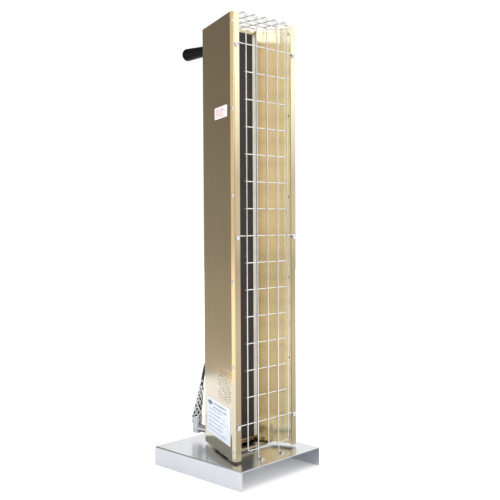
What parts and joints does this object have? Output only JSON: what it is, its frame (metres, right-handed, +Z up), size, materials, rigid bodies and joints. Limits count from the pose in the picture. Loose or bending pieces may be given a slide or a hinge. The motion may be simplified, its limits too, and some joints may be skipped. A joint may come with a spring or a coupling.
{
  "type": "portable infrared heater",
  "caption": "Tall free-standing infrared heater: gold sheet-metal column with a flat emitter, wire guard and rear handle on a channel base.",
  "frame": {"origin": "on the floor, at the centre of the footprint from the base's front edge to the handle's end; the cord and what is on it are not counted", "axes": "+Z up; the open, heated front faces -Y; the handle points to +Y; +X is to the right for a viewer looking at the front"},
  "size_m": [0.4995, 0.4963, 1.2321],
  "materials": {
    "base_metal": "bright satin sheet steel",
    "gold_sheet": "gold anodised satin sheet",
    "gold_mirror": "gold anodised bright reflector",
    "emitter_face": "matt black high-emissivity coating",
    "insulation": "white rigid fibre board",
    "resistance_metal": "oxidised resistance strip",
    "zinc_steel": "zinc plated",
    "guard_wire": "bright plated wire",
    "black_plastic": "moulded black phenolic",
    "cord_rubber": "matt black rubber",
    "fitting_metal": "polished cast fitting",
    "ceramic": "unglazed ceramic",
    "label": "blank white sticker",
    "lead_jacket": "heat-resistant braid",
    "switch_case": "moulded switch case"
  },
  "bodies": {
    "heater": {"base_bolts": "zinc_steel", "base_channel": "base_metal", "base_nuts": "zinc_steel", "base_spacers": "zinc_steel", "ceramic_bushings": "ceramic", "cord_coil": "cord_rubber", "cord_elbow": "fitting_metal", "cord_grip": "guard_wire", "cord_tail": "cord_rubber", "cord_tie": "black_plastic", "elbow_locknut": "zinc_steel", "element_leads": "lead_jacket", "element_terminals": "zinc_steel", "emitter_pan": "zinc_steel", "emitter_panel": "emitter_face", "grip_band": "fitting_metal", "grip_nut": "fitting_metal", "guard_foot_nuts": "zinc_steel", "guard_foot_screws": "zinc_steel", "guard_screws": "zinc_steel", "handle_brace": "zinc_steel", "handle_grip": "black_plastic", "handle_nut": "zinc_steel", "handle_stud": "zinc_steel", "handle_washer": "zinc_steel", "heating_element": "resistance_metal", "housing_shell": "gold_sheet", "insulation_board": "insulation", "left_reflector": "gold_mirror", "lower_emitter_rail": "gold_sheet", "lower_end_plate": "gold_sheet", "lower_hanger": "zinc_steel", "lower_label": "label", "middle_hanger": "zinc_steel", "plug_body": "cord_rubber", "plug_pins": "zinc_steel", "power_cord": "cord_rubber", "rear_screws": "zinc_steel", "right_reflector": "gold_mirror", "side_screws": "zinc_steel", "supply_leads": "lead_jacket", "switch_leads": "lead_jacket", "terminal_block": "black_plastic", "terminal_screws": "zinc_steel", "tip_switch_body": "switch_case", "tip_switch_screws": "zinc_steel", "tip_switch_spring": "zinc_steel", "upper_emitter_rail": "gold_sheet", "upper_end_plate": "gold_sheet", "upper_hanger": "zinc_steel", "upper_label": "label", "wire_guard": "guard_wire"},
    "tip_plunger": {"tip_switch_plunger": "switch_case"}
  },
  "joints": [
    {"name": "tip_plunger_slide", "type": "slide", "parent": "heater", "child": "tip_plunger", "axis": [0, 0, -1], "range_m": [0, 0.008], "stiffness_N_per_m": 60, "springref_m": 0.01, "deforming": ["tip_switch_spring"]}
  ]
}
